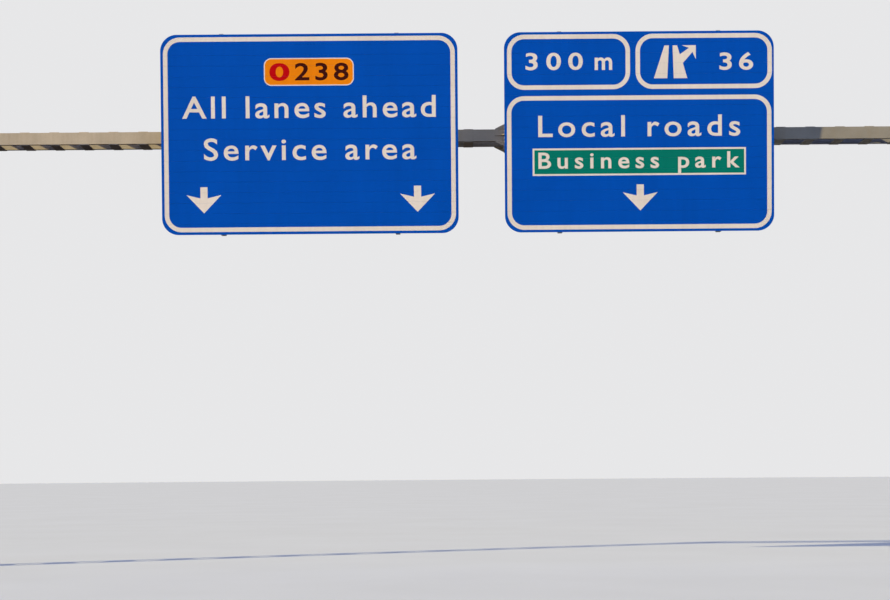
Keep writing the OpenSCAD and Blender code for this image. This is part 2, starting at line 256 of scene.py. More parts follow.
def weld_beads(name, runs, material):
    """Lays a round bead along each run of points, as one piece."""
    line = bpy.data.curves.new(name, "CURVE")
    line.dimensions = "3D"
    line.bevel_depth = BEAD_RADIUS
    line.bevel_resolution = 1
    line.use_fill_caps = True
    for run in runs:
        spline = line.splines.new("POLY")
        spline.points.add(len(run) - 1)
        for point, place in zip(spline.points, run):
            point.co = (*place, 1)
    bead = bpy.data.objects.new(name, line)
    bpy.context.collection.objects.link(bead)
    only(bead)
    bpy.ops.object.convert(target="MESH")
    hand_over(bpy.context.object, name, material)


def rib_runs(corner, along, rise, across):
    """Beads on both sides of a rib that stands in a corner: along one leg, and up the other."""
    corner, along, rise, across = Vector(corner), Vector(along), Vector(rise), Vector(across)
    runs = []
    for side in (-1, 1):
        start = corner + side * RIB_HALF_T * across
        for leg in (along, rise):
            reach = leg.length - BEAD_RADIUS
            runs.append([start + leg.normalized() * RIB_SNIPE, start + leg.normalized() * reach])
    return runs


def lip_run(centre, half_depth, half_width, side, along):
    """Bead round a channel's end: over one flange, down the web and back over the other flange."""
    lip = half_width - CHANNEL_LIP
    corners = ((half_depth, lip), (half_depth, half_width), (-half_depth, half_width), (-half_depth, lip))
    return [Vector(centre) + Vector(along) * a + Vector((0, side * b, 0)) for a, b in corners]


for side in ("left", "right"):
    plate_low, plate_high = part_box(side + "_base_plate")
    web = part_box(side + "_leg_rear_channel")[1]
    ribs_low, ribs_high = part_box(side + "_base_ribs")
    leg_low, leg_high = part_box(side + "_leg_front_channel")
    leg_x = (leg_low.x + leg_high.x) / 2
    half_leg = (leg_high.x - leg_low.x) / 2
    foot_z = plate_high.z
    rise = (0, 0, ribs_high.z - foot_z)
    runs = []
    for face in (-1, 1):
        runs.append(lip_run((leg_x, 0, foot_z), half_leg, web.y, face, (1, 0, 0)))
        for offset in (-RIB_OFFSET, RIB_OFFSET):
            runs += rib_runs((leg_x + offset, face * web.y, foot_z),
                             (0, face * (ribs_high.y - web.y), 0), rise, (1, 0, 0))
        for end in (-1, 1):
            runs += rib_runs((leg_x + end * half_leg, face * (web.y - RIB_HALF_T), foot_z),
                             (end * (ribs_high.x - leg_high.x), 0, 0), rise, (0, 1, 0))
    weld_beads(side + "_foot_welds", runs, foot_zinc)


# Anchor bolts: M36 studs cast into the footing, zinc coated, with a thick washer and a nut
# run down on the base plate. Six hold each foot.
STUD_R = 0.018
STUD_PITCH = 0.004
STUD_ABOVE_PLATE = 0.078
STUD_IN_PLATE = 0.03
ANCHOR_EDGE = 0.06
NUT_WIDTH = 0.055
NUT_HEIGHT = 0.029
NUT_CHAMFER = 0.0025
WASHER_R = 0.036
WASHER_T = 0.006
THREAD_DEPTH_PER_PITCH = 0.6
MERGE_REACH = 0.00001
LEVEL_WITHIN = 0.0001
BOLT_ZINC = (0.42, 0.425, 0.43, 1)
turning = random.Random(36)

bolt_zinc = galvanised("bolt_zinc", BOLT_ZINC, streaks=0.15, dust=0.3, metallic=0.5)


def pick(kind, test):
    """In edit mode, selects the edges or the faces that pass the test."""
    bpy.ops.mesh.select_mode(type=kind)
    bpy.ops.mesh.select_all(action="DESELECT")
    mesh = bmesh.from_edit_mesh(bpy.context.object.data)
    for part in (mesh.edges if kind == "EDGE" else mesh.faces):
        if test(part):
            part.select_set(True)
    bmesh.update_edit_mesh(bpy.context.object.data)


def turned(profile, steps=16):
    """Turns a profile of (radius, height) points about Z, as a lathe does. The profile is
    extruded from one vertex, which a tiny plane is merged into."""
    bpy.ops.mesh.primitive_plane_add(size=0.001)
    bpy.ops.object.mode_set(mode="EDIT")
    bpy.ops.mesh.merge(type="CENTER")
    bpy.ops.transform.translate(value=(profile[0][0], 0, profile[0][1]))
    for (r0, z0), (r1, z1) in zip(profile, profile[1:]):
        bpy.ops.mesh.extrude_region_move(TRANSFORM_OT_translate={"value": (r1 - r0, 0, z1 - z0)})
    bpy.ops.mesh.select_all(action="SELECT")
    bpy.ops.mesh.spin(steps=steps, angle=math.tau, center=(0, 0, 0), axis=(0, 0, 1))
    bpy.ops.mesh.select_all(action="SELECT")
    bpy.ops.mesh.remove_doubles(threshold=MERGE_REACH)
    bpy.ops.mesh.normals_make_consistent(inside=False)
    bpy.ops.object.mode_set(mode="OBJECT")
    return bpy.context.object


def hexagon(width, height, bottom, chamfer):
    """A nut or a bolt head, with its two rims chamfered."""
    bpy.ops.mesh.primitive_cylinder_add(vertices=6, radius=width / math.sqrt(3), depth=height,
                                        location=(0, 0, bottom + height / 2))
    bpy.ops.object.mode_set(mode="EDIT")
    pick("EDGE", lambda edge: abs(edge.verts[0].co.z - edge.verts[1].co.z) < LEVEL_WITHIN)
    bpy.ops.mesh.bevel(offset=chamfer, segments=1)
    bpy.ops.object.mode_set(mode="OBJECT")
    bpy.ops.object.transform_apply(location=True)
    return bpy.context.object


def washer(outer, bore, bottom, thickness):
    """A flat ring with its outer rims broken."""
    rim = thickness / 5
    top = bottom + thickness
    return turned([(bore, bottom), (outer - rim, bottom), (outer, bottom + rim), (outer, top - rim),
                   (outer - rim, top), (bore, top), (bore, bottom)])


def thread(radius, pitch, bottom, top):
    """Profile of a threaded rod with a chamfered end, from the bottom up."""
    root = radius - THREAD_DEPTH_PER_PITCH * pitch
    turns = int((top - bottom) / pitch) - 1
    profile = [(0, bottom), (root, bottom)]
    for turn in range(turns):
        profile += [(radius, bottom + (turn + 0.5) * pitch), (root, bottom + (turn + 1) * pitch)]
    return profile + [(root, top), (0, top)]


def joined(parts):
    """Joins parts into the first of them."""
    bpy.ops.object.select_all(action="DESELECT")
    for part in parts:
        part.select_set(True)
    bpy.context.view_layer.objects.active = parts[0]
    bpy.ops.object.join()
    return bpy.context.object


def copied(master, placing):
    """Copies an object with its own mesh and gives the copy this placing."""
    only(master)
    bpy.ops.object.duplicate()
    copy = bpy.context.object
    copy.matrix_world = placing
    return copy


def set_out(master, name, places, upright):
    """Copies a fastener to each place, with its Z axis along upright and its flats turned at
    random, and joins the copies."""
    aim = Vector((0, 0, 1)).rotation_difference(Vector(upright)).to_matrix().to_4x4()
    copies = []
    for place in places:
        spin = Matrix.Rotation(turning.uniform(0, math.tau), 4, "Z")
        copies.append(copied(master, Matrix.Translation(place) @ aim @ spin))
    hand_over(joined(copies), name, bolt_zinc)


anchor = joined([
    turned(thread(STUD_R, STUD_PITCH, -STUD_IN_PLATE, STUD_ABOVE_PLATE)),
    washer(WASHER_R, STUD_R, 0, WASHER_T),
    hexagon(NUT_WIDTH, NUT_HEIGHT, WASHER_T, NUT_CHAMFER),
])
for side in ("left", "right"):
    plate_low, plate_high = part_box(side + "_base_plate")
    middle = (plate_low + plate_high) / 2
    reach_x = (plate_high.x - plate_low.x) / 2 - ANCHOR_EDGE
    reach_y = (plate_high.y - plate_low.y) / 2 - ANCHOR_EDGE
    places = [(middle.x + column * reach_x, middle.y + row * reach_y, plate_high.z)
              for column in (-1, 0, 1) for row in (-1, 1)]
    set_out(anchor, side + "_anchor_bolts", places, (0, 0, 1))
bpy.data.objects.remove(anchor)


# Legs: two channels each, tied by batten plates that are welded over the channel flanges, and
# closed by a cap. Galvanised in one piece, duller than the bolts and streaked by rain.
LEG_ZINC = (0.35, 0.352, 0.35, 1)
BATTEN_PITCH = 0.5
BATTEN_WIDTH = 0.16

leg_zinc = galvanised("leg_zinc", LEG_ZINC, streaks=0.3, dust=0.6, metallic=0.4)


def batten_runs(low, high, lip, axis, face):
    """Beads round both ends of each batten plate in a row, on the channels' flanges.
    The row runs along axis, and face is the plates' side against the channels."""
    count = round((high[axis] - low[axis] - BATTEN_WIDTH) / BATTEN_PITCH) + 1
    depth_axis = 2 if axis == 0 else 0
    runs = []
    for step in range(count):
        start = low[axis] + step * BATTEN_PITCH
        for end in (-1, 1):
            run = []
            for along, y in ((start, lip), (start, high.y), (start + BATTEN_WIDTH, high.y),
                             (start + BATTEN_WIDTH, lip)):
                corner = Vector((0, end * y, 0))
                corner[axis] = along
                corner[depth_axis] = face
                run.append(corner)
            runs.append(run)
    return runs


for side in ("left", "right"):
    coat_nodes(leg_zinc, [side + "_leg_" + part for part in (
        "front_channel", "rear_channel", "road_battens", "verge_battens", "head_flange", "cap")])
    leg_low, leg_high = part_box(side + "_leg_rear_channel")
    lip = leg_high.y - CHANNEL_LIP
    runs = []
    for row in ("_leg_road_battens", "_leg_verge_battens"):
        low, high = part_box(side + row)
        face = leg_high.x if low.x > (leg_low.x + leg_high.x) / 2 else leg_low.x
        runs += batten_runs(low, high, lip, 2, face)
    weld_beads(side + "_leg_welds", runs, leg_zinc)


# Bolted flange joints: thick plates on the leg heads and on both ends of each half beam,
# stiffened by tapered ribs and drawn together by sixteen M20 bolts with nuts and washers.
FLANGE_T = 0.025
FLANGE_EDGE = 0.044
SIDE_BOLTS = (-0.12, -0.06, 0.06, 0.12)
ROW_BOLTS = (-0.1875, -0.0625, 0.0625, 0.1875)
M20 = {"radius": 0.010, "pitch": 0.0025, "across": 0.030, "head": 0.0125, "nut_height": 0.016,
       "washer_r": 0.0185, "washer_t": 0.003, "tail": 0.009, "chamfer": 0.0014}


def bolt(grip, radius, pitch, across, head, nut_height, washer_r, washer_t, tail, chamfer):
    """A bolt through plates of this grip. Its head stands on Z zero, its nut is below."""
    nut_top = -grip - washer_t
    return joined([
        turned(thread(radius, pitch, nut_top - nut_height - tail, 0), steps=12),
        hexagon(across, head, washer_t, chamfer),
        washer(washer_r, radius, 0, washer_t),
        washer(washer_r, radius, nut_top, washer_t),
        hexagon(across, nut_height, nut_top - nut_height, chamfer),
    ])


first_plates = {"left_joint": "left_leg_head_flange", "splice": "left_beam_splice_flange",
                "right_joint": "right_beam_end_flange"}
flange_low, flange_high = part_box("left_beam_splice_flange")
beam_z = (flange_low.z + flange_high.z) / 2
side_y = flange_high.y - FLANGE_EDGE
row_z = (flange_high.z - flange_low.z) / 2 - FLANGE_EDGE
flange_bolt = bolt(2 * FLANGE_T, **M20)
for joint, first in first_plates.items():
    face_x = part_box(first)[1].x + FLANGE_T
    places = [(face_x, face * side_y, beam_z + z) for face in (-1, 1) for z in SIDE_BOLTS]
    places += [(face_x, y, beam_z + face * row_z) for face in (-1, 1) for y in ROW_BOLTS]
    set_out(flange_bolt, joint + "_bolts", places, (1, 0, 0))
bpy.data.objects.remove(flange_bolt)


# Beam: two halves of the same make, galvanised in different baths, so that the left half is
# paler than the right one. Years of road dust have tanned both and have made the left half
# matt. The rear channels are greyer for less dust. They are also bluer, and lighter on the
# right half, as painted sky light inside the beam.
LEFT_BEAM_ZINC = (0.489, 0.404, 0.288, 1)
# Rear channel greys: less dust, plus painted sky light that makes them bluer, and lighter on the right
# half.
LEFT_REAR_ZINC_AND_SKY_LIGHT = (0.489, 0.444, 0.397, 1)
LEFT_BEAM_GLOSS = 0.0
RIGHT_BEAM_ZINC = (0.299, 0.266, 0.201, 1)
RIGHT_REAR_ZINC_AND_SKY_LIGHT = (0.37, 0.37, 0.40, 1)
RIGHT_BEAM_GLOSS = 0.11
STIFFENER_LENGTH = 0.165
for side, tanned, dust_free_and_sky_lit, gloss in (
        ("left", LEFT_BEAM_ZINC, LEFT_REAR_ZINC_AND_SKY_LIGHT, LEFT_BEAM_GLOSS),
        ("right", RIGHT_BEAM_ZINC, RIGHT_REAR_ZINC_AND_SKY_LIGHT, RIGHT_BEAM_GLOSS)):
    zinc = galvanised(side + "_beam_zinc", tanned, streaks=0.22, dust=0.6, gloss=gloss)
    coat_nodes(zinc, [side + "_beam_" + part for part in (
        "front_channel", "top_battens", "bottom_battens", "end_flange", "splice_flange")])
    # The rear channels' own zinc: bluer, and lighter on the right half, as painted sky light inside the
    # beam.
    rear_zinc_and_sky_light = galvanised(side + "_rear_zinc_and_sky_light", dust_free_and_sky_lit, streaks=0.22, dust=0.6, gloss=gloss)
    coat_nodes(rear_zinc_and_sky_light, [side + "_beam_rear_channel"])
    beam_low, beam_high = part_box(side + "_beam_rear_channel")
    half_depth = (beam_high.z - beam_low.z) / 2
    runs = []
    for row, face in (("_beam_top_battens", beam_high.z), ("_beam_bottom_battens", beam_low.z)):
        low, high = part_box(side + row)
        runs += batten_runs(low, high, beam_high.y - CHANNEL_LIP, 0, face)
    for plate_x, inwards in ((beam_low.x, 1), (beam_high.x, -1)):
        along = (inwards * STIFFENER_LENGTH, 0, 0)
        for face in (-1, 1):
            runs.append(lip_run((plate_x, 0, beam_z), half_depth, beam_high.y, face, (0, 0, 1)))
            runs += rib_runs((plate_x, face * beam_high.y, beam_z), along,
                             (0, face * (flange_high.y - beam_high.y), 0), (0, 0, 1))
            for end in (-1, 1):
                runs += rib_runs((plate_x, face * (beam_high.y - RIB_HALF_T), beam_z + end * half_depth),
                                 along, (0, 0, end * (flange_high.z - beam_high.z)), (0, 1, 0))
    weld_beads(side + "_beam_welds", runs, zinc)


# Sign posts and brackets: I-sections of galvanised steel, younger and greyer than the beam.
# The posts lean forward with the signs. Each bracket is bolted to the beam's front web and,
# on its slanted plate, to the post's rear flange.
POST_ZINC = (0.34, 0.34, 0.335, 1)
WEB_T = 0.0085
POST_FLANGE_T = 0.0069
BRACKET_PLATE_T = 0.012
POST_PLATE_HEIGHT = 0.30
BEAM_BOLTS = (0.075, 0.055)
POST_BOLTS = (0.021, 0.125)
SIGN_LEAN = math.radians(5)
M16 = {"radius": 0.008, "pitch": 0.002, "across": 0.024, "head": 0.010, "nut_height": 0.013,
       "washer_r": 0.015, "washer_t": 0.003, "tail": 0.008, "chamfer": 0.0012}
M12 = {"radius": 0.006, "pitch": 0.00175, "across": 0.019, "head": 0.0075, "nut_height": 0.010,
       "washer_r": 0.012, "washer_t": 0.0025, "tail": 0.006, "chamfer": 0.001}
signs = ("left_sign_", "right_sign_")
post_back_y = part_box("left_sign_left_bracket")[0].y + POST_PLATE_HEIGHT / 2 * math.sin(SIGN_LEAN)


def on_sign(x, forward, up):
    """Place on the leaning signs, as a matrix with Y to the back and Z up the slope. Forward is
    counted from the back of the posts, and up from the middle of the beam."""
    foot = Matrix.Translation((0, post_back_y, beam_z)) @ Matrix.Rotation(SIGN_LEAN, 4, "X")
    return foot @ Matrix.Translation((x, -forward, up))


post_zinc = galvanised("post_zinc", POST_ZINC, streaks=0.3, dust=0.4, metallic=0.2)
beam_bolt = bolt(WEB_T + BRACKET_PLATE_T, **M16)
post_bolt = bolt(POST_FLANGE_T + BRACKET_PLATE_T, **M12)
corners = [(a, b) for a in (-1, 1) for b in (-1, 1)]
backwards = on_sign(0, 0, 0).to_3x3() @ Vector((0, 1, 0))
for sign in signs:
    for side in ("left_", "right_"):
        coat_nodes(post_zinc, [sign + side + "post", sign + side + "bracket"])
        low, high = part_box(sign + side + "bracket")
        x = (low.x + high.x) / 2
        beam_places = [(x + a * BEAM_BOLTS[0], high.y - BRACKET_PLATE_T, beam_z + b * BEAM_BOLTS[1])
                       for a, b in corners]
        post_places = [on_sign(x + a * POST_BOLTS[0], -BRACKET_PLATE_T, b * POST_BOLTS[1]).translation
                       for a, b in corners]
        set_out(beam_bolt, sign + side + "beam_bolts", beam_places, (0, -1, 0))
        set_out(post_bolt, sign + side + "post_bolts", post_places, backwards)
bpy.data.objects.remove(beam_bolt)
bpy.data.objects.remove(post_bolt)


# Slat clamps: pressed steel clips with one M8 bolt each. A clip holds the back lips of two
# slats against the edge of a post's flange, at every seam and on both sides of the post.
CLIP_T = 0.005
CLIP_HEIGHT = 0.034
CLIP_ON_POST = 0.016
CLIP_PAST_POST = 0.001
CLIP_ON_SLAT = 0.026
CLIP_STEP = 0.004
CLIP_BEVEL = 0.0008
FACING_X = 0.9
CLIP_BOLT_R = 0.004
CLIP_BOLT_TIP_R = 0.0034
CLIP_BOLT_CHAMFER = 0.001
CLIP_BOLT_LENGTH = 0.016
CLIP_HEAD_WIDTH = 0.013
CLIP_HEAD_HEIGHT = 0.0055
CLIP_HEAD_CHAMFER = 0.0007
NUT_BAR = (0.018, 0.004, 0.024)
SLAT_COUNT = 19
SLAT_PITCH = 0.175
SLAT_SEAM = 0.0006
SLAT_SKIN = 0.003
POST_DEPTH = 0.14
SIGN_FOOT = -1.6825


def slat_clip():
    """One clip, modelled beside the post's right edge: X zero is that edge, and Y zero is the
    back of the slats."""
    bpy.ops.mesh.primitive_cube_add(size=1, location=(-CLIP_ON_POST / 2, POST_FLANGE_T + CLIP_T / 2, 0),
                                    scale=(CLIP_ON_POST, CLIP_T, CLIP_HEIGHT))
    bpy.ops.object.transform_apply(location=True, scale=True)
    bpy.ops.object.mode_set(mode="EDIT")
    pick("FACE", lambda face: face.normal.x > FACING_X)
    for move in ((CLIP_PAST_POST, 0, 0), (CLIP_STEP, -POST_FLANGE_T, 0), (CLIP_ON_SLAT - CLIP_STEP, 0, 0)):
        bpy.ops.mesh.extrude_region_move(TRANSFORM_OT_translate={"value": move})
    bpy.ops.object.mode_set(mode="OBJECT")
    clip = bpy.context.object
    bevel = clip.modifiers.new("rounded", "BEVEL")
    bevel.width = CLIP_BEVEL
    bevel.segments = 1
    bpy.ops.object.modifier_apply(modifier="rounded")
    return clip


def clip_bolt(x):
    """The clip's bolt, with a bar inside the slats for a nut."""
    tail = turned([(0, 0), (CLIP_BOLT_TIP_R, 0), (CLIP_BOLT_R, CLIP_BOLT_CHAMFER),
                   (CLIP_BOLT_R, CLIP_BOLT_LENGTH), (0, CLIP_BOLT_LENGTH)], steps=10)
    head = hexagon(CLIP_HEAD_WIDTH, CLIP_HEAD_HEIGHT, CLIP_T, CLIP_HEAD_CHAMFER)
    fastener = joined([tail, head])
    fastener.matrix_world = Matrix.Translation((x, 0, 0)) @ Matrix.Rotation(-math.pi / 2, 4, "X")
    bpy.ops.object.transform_apply(location=True, rotation=True)
    bpy.ops.mesh.primitive_cube_add(size=1, location=(x, -SLAT_SKIN - NUT_BAR[1] / 2, 0), scale=NUT_BAR)
    bpy.ops.object.transform_apply(location=True, scale=True)
    return joined([fastener, bpy.context.object])


right_clip = joined([slat_clip(), clip_bolt((CLIP_STEP + CLIP_ON_SLAT) / 2)])
left_clip = copied(right_clip, Matrix.Rotation(math.pi, 4, "Y"))
bpy.ops.object.transform_apply(rotation=True)
for sign in signs:
    for side in ("left_", "right_"):
        post_low, post_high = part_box(sign + side + "post")
        copies = []
        for clip, x in ((left_clip, post_low.x), (right_clip, post_high.x)):
            for seam in range(1, SLAT_COUNT):
                up = SIGN_FOOT + seam * SLAT_PITCH - SLAT_SEAM / 2
                copies.append(copied(clip, on_sign(x, POST_DEPTH, up)))
        hand_over(joined(copies), sign + side + "clamps", bolt_zinc)
bpy.data.objects.remove(left_clip)
bpy.data.objects.remove(right_clip)


# Slats: extruded aluminium with a sheet of blue reflecting film on the front face. The back,
# the ends and the seams are bare metal, dulled and drawn lengthwise by the die.
SIGN_BLUE = (0.0003, 0.086, 0.480, 1)
FILM_CELL = 0.0042
CELL_WALL = (0.03, 0.10)
CELL_SHADES = (0.94, 1.0)
FILM_ROUGHNESS = (0.5, 0.38)
FILM_FADING_SIZE = (0.6, 0.6, 0.9)
FILM_FADING = (0.96, 1.04)
FILM_STREAK_SIZE = (0.06, 0.06, 1.4)
FILM_STREAK_RANGE = (0.35, 0.8)
FILM_STREAKS = (1.0, 0.93)
CELL_HEIGHT = 0.5
FILM_BUMP = 0.05
FILM_RELIEF = 0.0002
FILM_GLOSS = 0.03
FILM_WRAP = 0.0013
BARE_ALUMINIUM = (0.50, 0.50, 0.49, 1)
ALUMINIUM_METALLIC = 0.6
ALUMINIUM_ROUGHNESS = (0.38, 0.55)
DIE_LINE_SIZE = (2.5, 0.004, 0.004)
DIE_LINE_SHADES = (0.90, 1.08)
STAIN_SIZE = (0.25, 0.25, 0.12)
STAIN_SHADES = (0.80, 1.1)
SLAT_DEPTH = 0.035
SIGN_DEPTH = POST_DEPTH + SLAT_DEPTH


def make_reflecting_film():
    """Reflecting film: a fine honeycomb of sealed cells, faded a little and dusty in streaks."""
    tree, start, end = effect("reflecting_film", [("Film", "Color", SIGN_BLUE)],
                              [("Colour", "Color"), ("Roughness", "Float"), ("Height", "Float")])
    place = node(tree, "ShaderNodeTexCoord").outputs["Object"]
    flat = node(tree, "ShaderNodeMapping", {"Vector": place, "Scale": (1, 0, 1)}).outputs[0]
    honeycomb = {"Vector": flat, "Scale": 1 / FILM_CELL, "Randomness": 0.15}
    cells = node(tree, "ShaderNodeTexVoronoi", honeycomb, feature="DISTANCE_TO_EDGE")
    inside = band(tree, cells.outputs["Distance"], *CELL_WALL)
    fading = band(tree, stretched_noise(tree, FILM_FADING_SIZE), *NOISE_RANGE, *FILM_FADING)
    streaks = stretched_noise(tree, FILM_STREAK_SIZE, detail=4.0)
    worn = maths(tree, "MULTIPLY", fading, band(tree, streaks, *FILM_STREAK_RANGE, *FILM_STREAKS))
    shade = maths(tree, "MULTIPLY", worn, band(tree, inside, 0.0, 1.0, *CELL_SHADES))
    finish_effect(tree, end, {
        "Colour": shaded(tree, start.outputs["Film"], shade),
        "Roughness": band(tree, inside, 0.0, 1.0, *FILM_ROUGHNESS),
        "Height": maths(tree, "MULTIPLY", inside, CELL_HEIGHT),
    })
    return tree


reflecting_film = make_reflecting_film()


def make_slat_material():
    """Film on the faces in the leaning front plane, bare aluminium on the others."""
    material, tree, surface = new_material("slats_film_and_aluminium")
    blue = node(tree, "ShaderNodeGroup", {"Film": SIGN_BLUE}, node_tree=reflecting_film).outputs
    front = on_sign(0, SIGN_DEPTH - FILM_WRAP, 0)
    outwards = front.to_3x3() @ Vector((0, -1, 0))
    place = node(tree, "ShaderNodeTexCoord").outputs["Object"]
    forward = node(tree, "ShaderNodeVectorMath", {0: place, 1: outwards}, operation="DOT_PRODUCT")
    on_front = maths(tree, "GREATER_THAN", forward.outputs["Value"], outwards.dot(front.translation))
    drawn = stretched_noise(tree, DIE_LINE_SIZE, detail=2.0)
    stain = stretched_noise(tree, STAIN_SIZE, detail=5.0)
    shade = maths(tree, "MULTIPLY", band(tree, drawn, *NOISE_RANGE, *DIE_LINE_SHADES),
                  band(tree, stain, *NOISE_RANGE, *STAIN_SHADES))
    dirt = {"Colour": shaded(tree, BARE_ALUMINIUM, shade), "Streaks": 0.25, "Dust": 0.6}
    weather = node(tree, "ShaderNodeGroup", dirt, node_tree=weathering)
    colour = blend_colours(tree, on_front, weather.outputs["Colour"], blue["Colour"])
    bare_roughness = band(tree, stain, *NOISE_RANGE, *ALUMINIUM_ROUGHNESS)
    roughness = node(tree, "ShaderNodeMix", {0: on_front, 2: bare_roughness, 3: blue["Roughness"]})
    cover(tree, surface, colour, roughness.outputs[0], blue["Height"], FILM_BUMP, FILM_RELIEF)
    bare = maths(tree, "SUBTRACT", 1.0, on_front)
    tree.links.new(maths(tree, "MULTIPLY", bare, ALUMINIUM_METALLIC), surface.inputs["Metallic"])
    surface.inputs["Specular IOR Level"].default_value = FILM_GLOSS
    return material


coat_nodes(make_slat_material(), [sign + "slats" for sign in signs])


# Left sign's face: a cream border, a road number on an orange shield, two lines of words and
# two lane arrows. All are cut from film, slat by slat, and stuck on the blue.
CREAM_FILM = (0.90, 0.79, 0.655, 1)
ORANGE_FILM = (0.98, 0.262, 0.003, 1)
RED_FILM = (0.59, 0.002, 0.004, 1)
DARK_FILM = (0.055, 0.007, 0.004, 1)
FILM_T = 0.0003
SEAM_CUT = 0.0006
LINE = 0.074
LEFT_MARGIN, LEFT_BORDER_R = 0.045, 0.28
SHIELD = (1.722, 2.466, 1.495, 0.459)
SHIELD_R, SHIELD_RIM = 0.125, 0.016
LEFT_ARROW_X, RIGHT_ARROW_INSET, LEFT_SIGN_ARROW_TOP = 0.702, 0.683, 0.792
FONT_CAP = 0.70
WORD_STRETCH, WORD_SWELL = 1.12, 0.011
DIGIT_STRETCH, DIGIT_SWELL = 1.3, 0.019


def film(name, colour):
    """Reflecting film of this colour."""
    material, tree, surface = new_material(name)
    face = node(tree, "ShaderNodeGroup", {"Film": colour}, node_tree=reflecting_film).outputs
    cover(tree, surface, face["Colour"], face["Roughness"], face["Height"], FILM_BUMP, FILM_RELIEF)
    surface.inputs["Specular IOR Level"].default_value = FILM_GLOSS
    return material


def stick_on(flat, sign, name, material, layer=0):
    """Cuts a flat shape at the slats' seams, gives it the film's thickness and sticks it on the
    sign. X and Y of the flat shape run from the panel's lower left corner."""
    only(flat)
    bpy.ops.object.transform_apply(location=True, rotation=True, scale=True)
    bottom = min(v.co.y for v in flat.data.vertices)
    top = max(v.co.y for v in flat.data.vertices)
    bpy.ops.object.mode_set(mode="EDIT")
    bpy.ops.mesh.select_all(action="SELECT")
    bpy.ops.mesh.remove_doubles(threshold=MERGE_REACH)
    for seam in range(math.ceil(bottom / SLAT_PITCH), math.ceil(top / SLAT_PITCH)):
        middle = seam * SLAT_PITCH - SLAT_SEAM / 2
        for cut in (middle - SEAM_CUT, middle + SEAM_CUT):
            bpy.ops.mesh.select_all(action="SELECT")
            bpy.ops.mesh.bisect(plane_co=(0, cut, 0), plane_no=(0, 1, 0))
        pick("FACE", lambda face: abs(face.calc_center_median().y - middle) < SEAM_CUT)
        bpy.ops.mesh.delete(type="FACE")
    bpy.ops.object.mode_set(mode="OBJECT")
    thickness = flat.modifiers.new("film", "SOLIDIFY")
    thickness.thickness = FILM_T
    thickness.offset = 1
    bpy.ops.object.modifier_apply(modifier="film")
    bpy.ops.object.shade_flat()
    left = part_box(sign + "slats")[0].x
    stand = Matrix.Rotation(math.pi / 2, 4, "X")
    flat.matrix_world = on_sign(left, SIGN_DEPTH + layer * FILM_T, SIGN_FOOT) @ stand
    hand_over(flat, sign + name, material)


def sheet(left, bottom, width, height, radius=0.0):
    """A flat sheet, with round corners if a radius is given."""
    bpy.ops.mesh.primitive_plane_add(size=1)
    bpy.ops.transform.resize(value=(width, height, 1))
    bpy.ops.transform.translate(value=(left + width / 2, bottom + height / 2, 0))
    bpy.ops.object.transform_apply(location=True, scale=True)
    if radius:
        bpy.ops.object.mode_set(mode="EDIT")
        bpy.ops.mesh.bevel(offset=radius, segments=12, affect="VERTICES")
        bpy.ops.object.mode_set(mode="OBJECT")
    return bpy.context.object


def border(left, bottom, width, height, radius, line):
    """The rim of such a sheet, with the middle cut out."""
    ring = sheet(left, bottom, width, height, radius)
    bpy.ops.object.mode_set(mode="EDIT")
    bpy.ops.mesh.inset(thickness=line)
    bpy.ops.mesh.delete(type="FACE")
    bpy.ops.object.mode_set(mode="OBJECT")
    return ring


def within(left, bottom, width, height, rim):
    """The rectangle that a rim encloses."""
    return left + rim, bottom + rim, width - 2 * rim, height - 2 * rim


def outline(points):
    """A flat shape with straight edges through these points."""
    edge = bpy.data.curves.new("outline", "CURVE")
    edge.dimensions = "2D"
    edge.fill_mode = "BOTH"
    spline = edge.splines.new("POLY")
    spline.points.add(len(points) - 1)
    for point, (x, y) in zip(spline.points, points):
        point.co = (x, y, 0, 1)
    spline.use_cyclic_u = True
    shape = bpy.data.objects.new("outline", edge)
    bpy.context.collection.objects.link(shape)
    only(shape)
    bpy.ops.object.convert(target="MESH")
    return bpy.context.object


def lane_arrow(x, top):
    """Arrow that points down at a lane."""
    stem, barb = 0.06, 0.291
    notch_y, barb_y, tip_y = top - 0.185, top - 0.13, top - 0.435
    right = [(stem, top), (stem, notch_y), (barb, barb_y)]
    left = [(-a, b) for a, b in reversed(right)]
    return outline([(x + a, b) for a, b in right + [(0, tip_y)] + left])


def words(text, left, baseline, cap_height, width=None, stretch=WORD_STRETCH, swell=WORD_SWELL):
    """Words of this cap height. The letters are widened by stretch, thickened by swell, and
    spaced out to this width if one is given."""
    bpy.ops.object.text_add()
    line = bpy.context.object
    line.data.body = text
    line.data.size = cap_height / (FONT_CAP + swell)
    line.data.offset = swell * line.data.size
    line.data.resolution_u = 5
    if width:
        lengths = []
        for spacing in (1.0, 2.0):
            line.data.space_character = spacing
            bpy.context.view_layer.update()
            lengths.append(line.dimensions.x)
        line.data.space_character = 1 + (width / stretch - lengths[0]) / (lengths[1] - lengths[0])
    bpy.context.view_layer.update()
    line.scale.x = stretch
    line.location = (left - line.bound_box[0][0] * stretch, baseline, 0)
    bpy.ops.object.convert(target="MESH")
    return bpy.context.object


def digits(text, left, baseline, cap_height, width):
    """Numbers, which are wider and bolder than the words."""
    return words(text, left, baseline, cap_height, width, DIGIT_STRETCH, DIGIT_SWELL)


